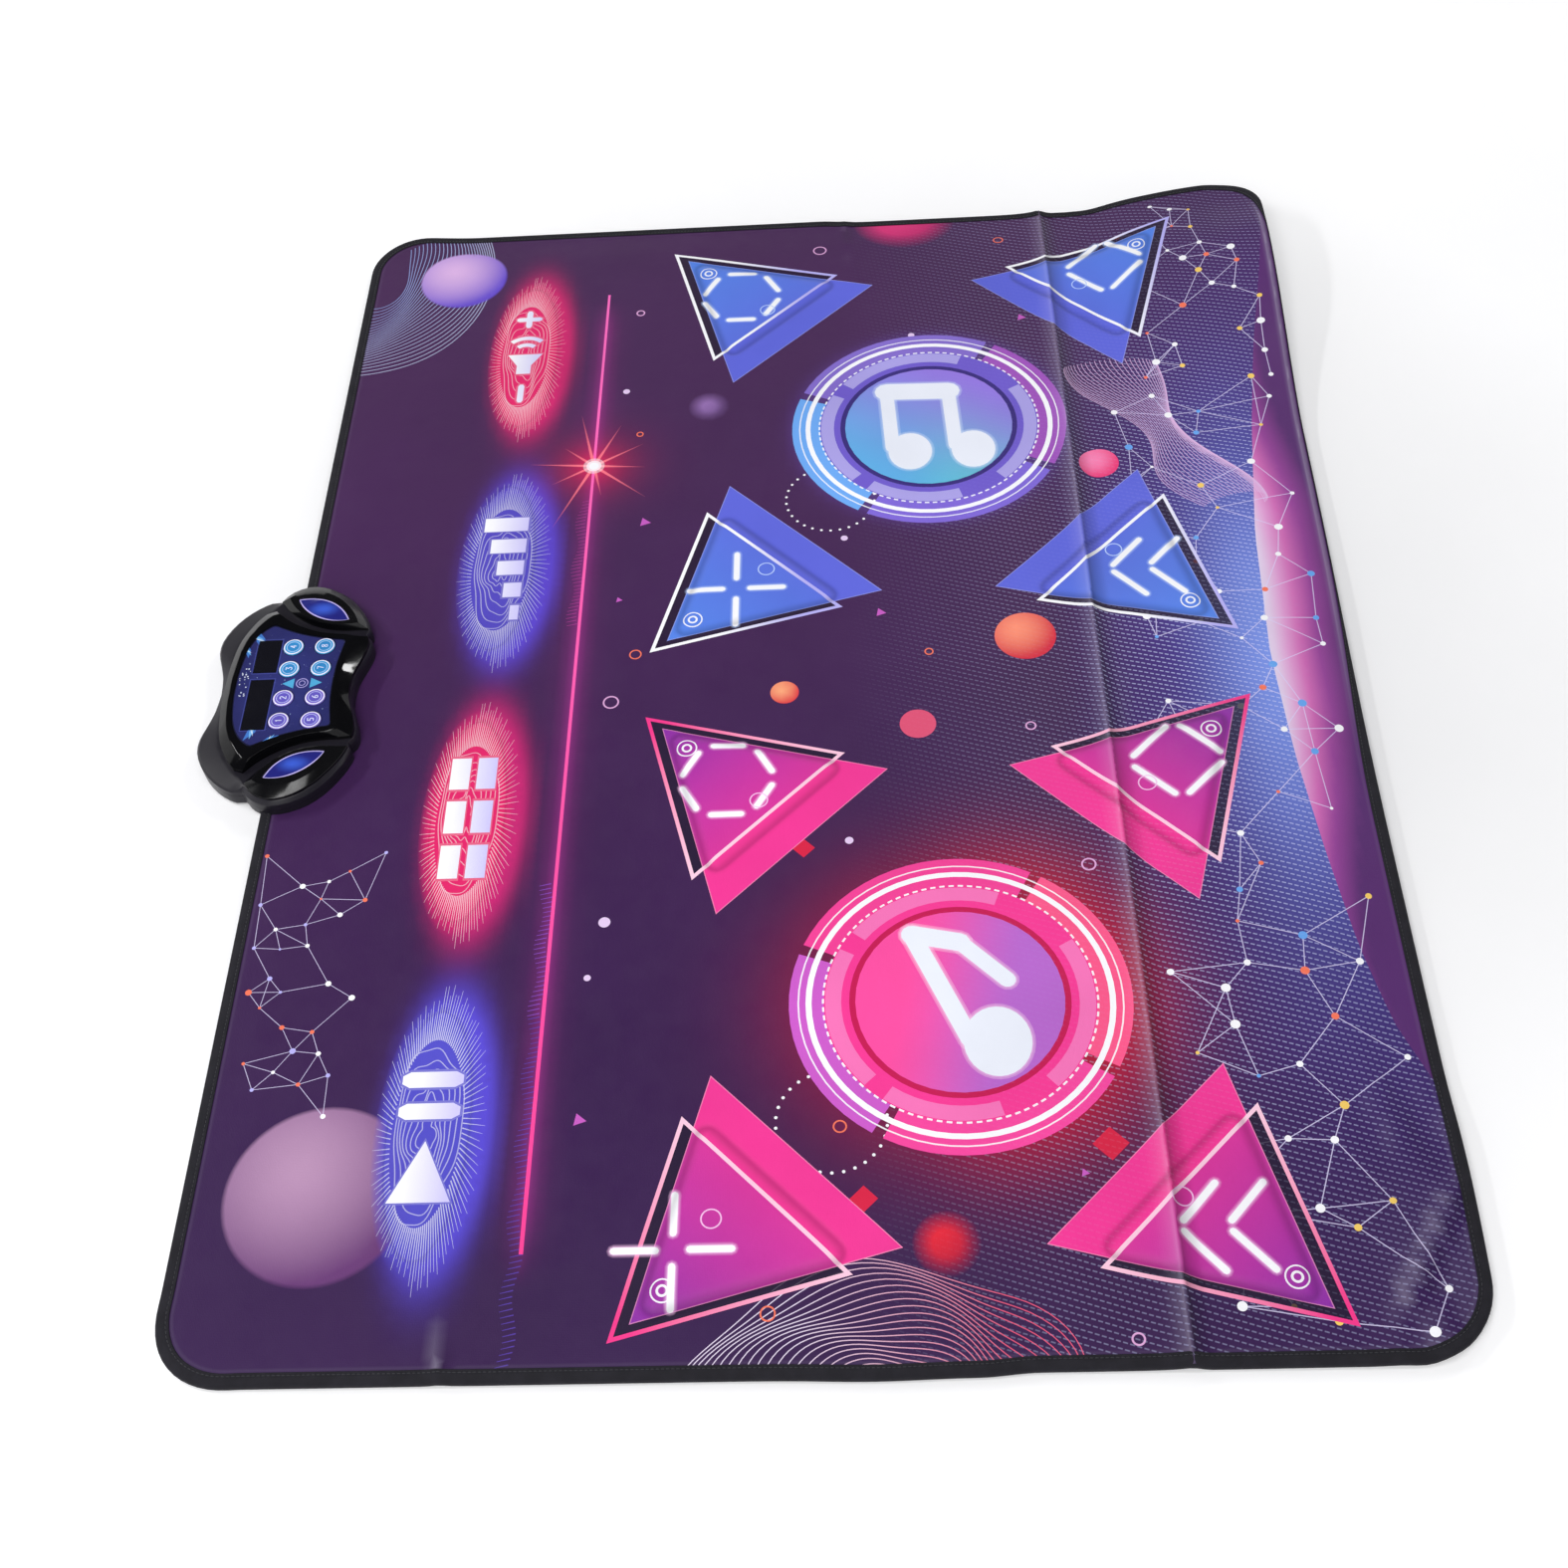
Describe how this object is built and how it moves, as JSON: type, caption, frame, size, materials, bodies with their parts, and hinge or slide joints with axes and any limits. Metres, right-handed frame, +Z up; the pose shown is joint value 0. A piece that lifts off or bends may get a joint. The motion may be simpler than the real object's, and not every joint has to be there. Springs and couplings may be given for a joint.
{
  "type": "electronic dance mat",
  "caption": "Electronic dance mat for dancing side by side: flat padded sheet with pressable step and setting pads, bound edge and a control box with keys, displays and side lights.",
  "frame": {"origin": "on the floor under the middle of the mat, at the underside of its base sheet", "axes": "+X along the mat's long side, +Y towards the edge that carries the control box, +Z up"},
  "size_m": [1.22, 0.9606, 0.0308],
  "materials": {
    "backing": "matt non-slip coated cloth",
    "circuit_film": "clear polyester film with printed tracks",
    "foam": "closed-cell foam sheet",
    "cover_print": "printed soft vinyl with a low sheen",
    "binding": "woven tape, sewn on",
    "pink_pad": "printed soft vinyl, embossed edge",
    "blue_pad": "printed soft vinyl, embossed edge",
    "satin_black": "satin",
    "gloss_black": "gloss",
    "panel_print": "printed label, gloss",
    "smoked_window": "dark smoked gloss",
    "light_lens": "tinted clear gloss",
    "key_blue": "gloss",
    "key_violet": "gloss",
    "circuit_board": "solder mask",
    "display_block": "satin",
    "steel": "plated",
    "battery_skin": "printed film sleeve",
    "rubber": "matt"
  },
  "bodies": {
    "mat_and_control_box": {"base_sheet": "backing", "lower_circuit_film": "circuit_film", "upper_circuit_film": "circuit_film", "spacer_foam": "foam", "cover_sheet": "cover_print", "edge_binding": "binding", "bottom_case": "satin_black", "top_case": "satin_black", "centre_trim": "gloss_black", "left_wing_cover": "gloss_black", "right_wing_cover": "gloss_black", "left_light_lens": "light_lens", "right_light_lens": "light_lens", "left_light_board": "circuit_board", "right_light_board": "circuit_board", "control_panel": "panel_print", "score_window": "smoked_window", "song_window": "smoked_window", "key_membrane": "rubber", "display_module": "display_block", "main_board": "circuit_board", "speaker": "steel", "battery_1": "battery_skin", "battery_2": "battery_skin", "battery_3": "battery_skin", "left_battery_contact": "steel", "right_battery_contact": "steel", "case_screw_1": "steel", "case_screw_2": "steel", "case_screw_3": "steel", "case_screw_4": "steel", "clamp_screw_1": "steel", "clamp_screw_2": "steel", "clamp_plate": "satin_black", "left_rubber_foot": "rubber", "right_rubber_foot": "rubber", "ribbon_tail": "circuit_film"},
    "left_player_upper_left_pad": {"left_player_upper_left_pad": "pink_pad"},
    "left_player_upper_right_pad": {"left_player_upper_right_pad": "pink_pad"},
    "left_player_lower_left_pad": {"left_player_lower_left_pad": "pink_pad"},
    "left_player_lower_right_pad": {"left_player_lower_right_pad": "pink_pad"},
    "right_player_upper_left_pad": {"right_player_upper_left_pad": "blue_pad"},
    "right_player_upper_right_pad": {"right_player_upper_right_pad": "blue_pad"},
    "right_player_lower_left_pad": {"right_player_lower_left_pad": "blue_pad"},
    "right_player_lower_right_pad": {"right_player_lower_right_pad": "blue_pad"},
    "volume_pad": {"volume_pad": "pink_pad"},
    "level_pad": {"level_pad": "blue_pad"},
    "mode_pad": {"mode_pad": "pink_pad"},
    "start_pad": {"start_pad": "blue_pad"},
    "key_1": {"key_1": "key_violet"},
    "key_2": {"key_2": "key_violet"},
    "key_3": {"key_3": "key_blue"},
    "key_4": {"key_4": "key_blue"},
    "key_5": {"key_5": "key_violet"},
    "key_6": {"key_6": "key_violet"},
    "key_7": {"key_7": "key_blue"},
    "key_8": {"key_8": "key_blue"},
    "battery_door": {"battery_door": "satin_black"}
  },
  "joints": [
    {"name": "left_player_upper_left_pad_press", "type": "slide", "parent": "mat_and_control_box", "child": "left_player_upper_left_pad", "axis": [0, 0, -1], "range_m": [0, 0.001], "stiffness_N_per_m": 4000},
    {"name": "left_player_upper_right_pad_press", "type": "slide", "parent": "mat_and_control_box", "child": "left_player_upper_right_pad", "axis": [0, 0, -1], "range_m": [0, 0.001], "stiffness_N_per_m": 4000},
    {"name": "left_player_lower_left_pad_press", "type": "slide", "parent": "mat_and_control_box", "child": "left_player_lower_left_pad", "axis": [0, 0, -1], "range_m": [0, 0.001], "stiffness_N_per_m": 4000},
    {"name": "left_player_lower_right_pad_press", "type": "slide", "parent": "mat_and_control_box", "child": "left_player_lower_right_pad", "axis": [0, 0, -1], "range_m": [0, 0.001], "stiffness_N_per_m": 4000},
    {"name": "right_player_upper_left_pad_press", "type": "slide", "parent": "mat_and_control_box", "child": "right_player_upper_left_pad", "axis": [0, 0, -1], "range_m": [0, 0.001], "stiffness_N_per_m": 4000},
    {"name": "right_player_upper_right_pad_press", "type": "slide", "parent": "mat_and_control_box", "child": "right_player_upper_right_pad", "axis": [0, 0, -1], "range_m": [0, 0.001], "stiffness_N_per_m": 4000},
    {"name": "right_player_lower_left_pad_press", "type": "slide", "parent": "mat_and_control_box", "child": "right_player_lower_left_pad", "axis": [0, 0, -1], "range_m": [0, 0.001], "stiffness_N_per_m": 4000},
    {"name": "right_player_lower_right_pad_press", "type": "slide", "parent": "mat_and_control_box", "child": "right_player_lower_right_pad", "axis": [0, 0, -1], "range_m": [0, 0.001], "stiffness_N_per_m": 4000},
    {"name": "volume_pad_press", "type": "slide", "parent": "mat_and_control_box", "child": "volume_pad", "axis": [0, 0, -1], "range_m": [0, 0.0008], "stiffness_N_per_m": 3000},
    {"name": "level_pad_press", "type": "slide", "parent": "mat_and_control_box", "child": "level_pad", "axis": [0, 0, -1], "range_m": [0, 0.0008], "stiffness_N_per_m": 3000},
    {"name": "mode_pad_press", "type": "slide", "parent": "mat_and_control_box", "child": "mode_pad", "axis": [0, 0, -1], "range_m": [0, 0.0008], "stiffness_N_per_m": 3000},
    {"name": "start_pad_press", "type": "slide", "parent": "mat_and_control_box", "child": "start_pad", "axis": [0, 0, -1], "range_m": [0, 0.0008], "stiffness_N_per_m": 3000},
    {"name": "key_1_press", "type": "slide", "parent": "mat_and_control_box", "child": "key_1", "axis": [0, 0, -1], "range_m": [0, 0.0008], "stiffness_N_per_m": 1200},
    {"name": "key_2_press", "type": "slide", "parent": "mat_and_control_box", "child": "key_2", "axis": [0, 0, -1], "range_m": [0, 0.0008], "stiffness_N_per_m": 1200},
    {"name": "key_3_press", "type": "slide", "parent": "mat_and_control_box", "child": "key_3", "axis": [0, 0, -1], "range_m": [0, 0.0008], "stiffness_N_per_m": 1200},
    {"name": "key_4_press", "type": "slide", "parent": "mat_and_control_box", "child": "key_4", "axis": [0, 0, -1], "range_m": [0, 0.0008], "stiffness_N_per_m": 1200},
    {"name": "key_5_press", "type": "slide", "parent": "mat_and_control_box", "child": "key_5", "axis": [0, 0, -1], "range_m": [0, 0.0008], "stiffness_N_per_m": 1200},
    {"name": "key_6_press", "type": "slide", "parent": "mat_and_control_box", "child": "key_6", "axis": [0, 0, -1], "range_m": [0, 0.0008], "stiffness_N_per_m": 1200},
    {"name": "key_7_press", "type": "slide", "parent": "mat_and_control_box", "child": "key_7", "axis": [0, 0, -1], "range_m": [0, 0.0008], "stiffness_N_per_m": 1200},
    {"name": "key_8_press", "type": "slide", "parent": "mat_and_control_box", "child": "key_8", "axis": [0, 0, -1], "range_m": [0, 0.0008], "stiffness_N_per_m": 1200},
    {"name": "battery_door_slide", "type": "slide", "parent": "mat_and_control_box", "child": "battery_door", "axis": [0, 1, 0], "range_m": [0, 0.04]}
  ]
}
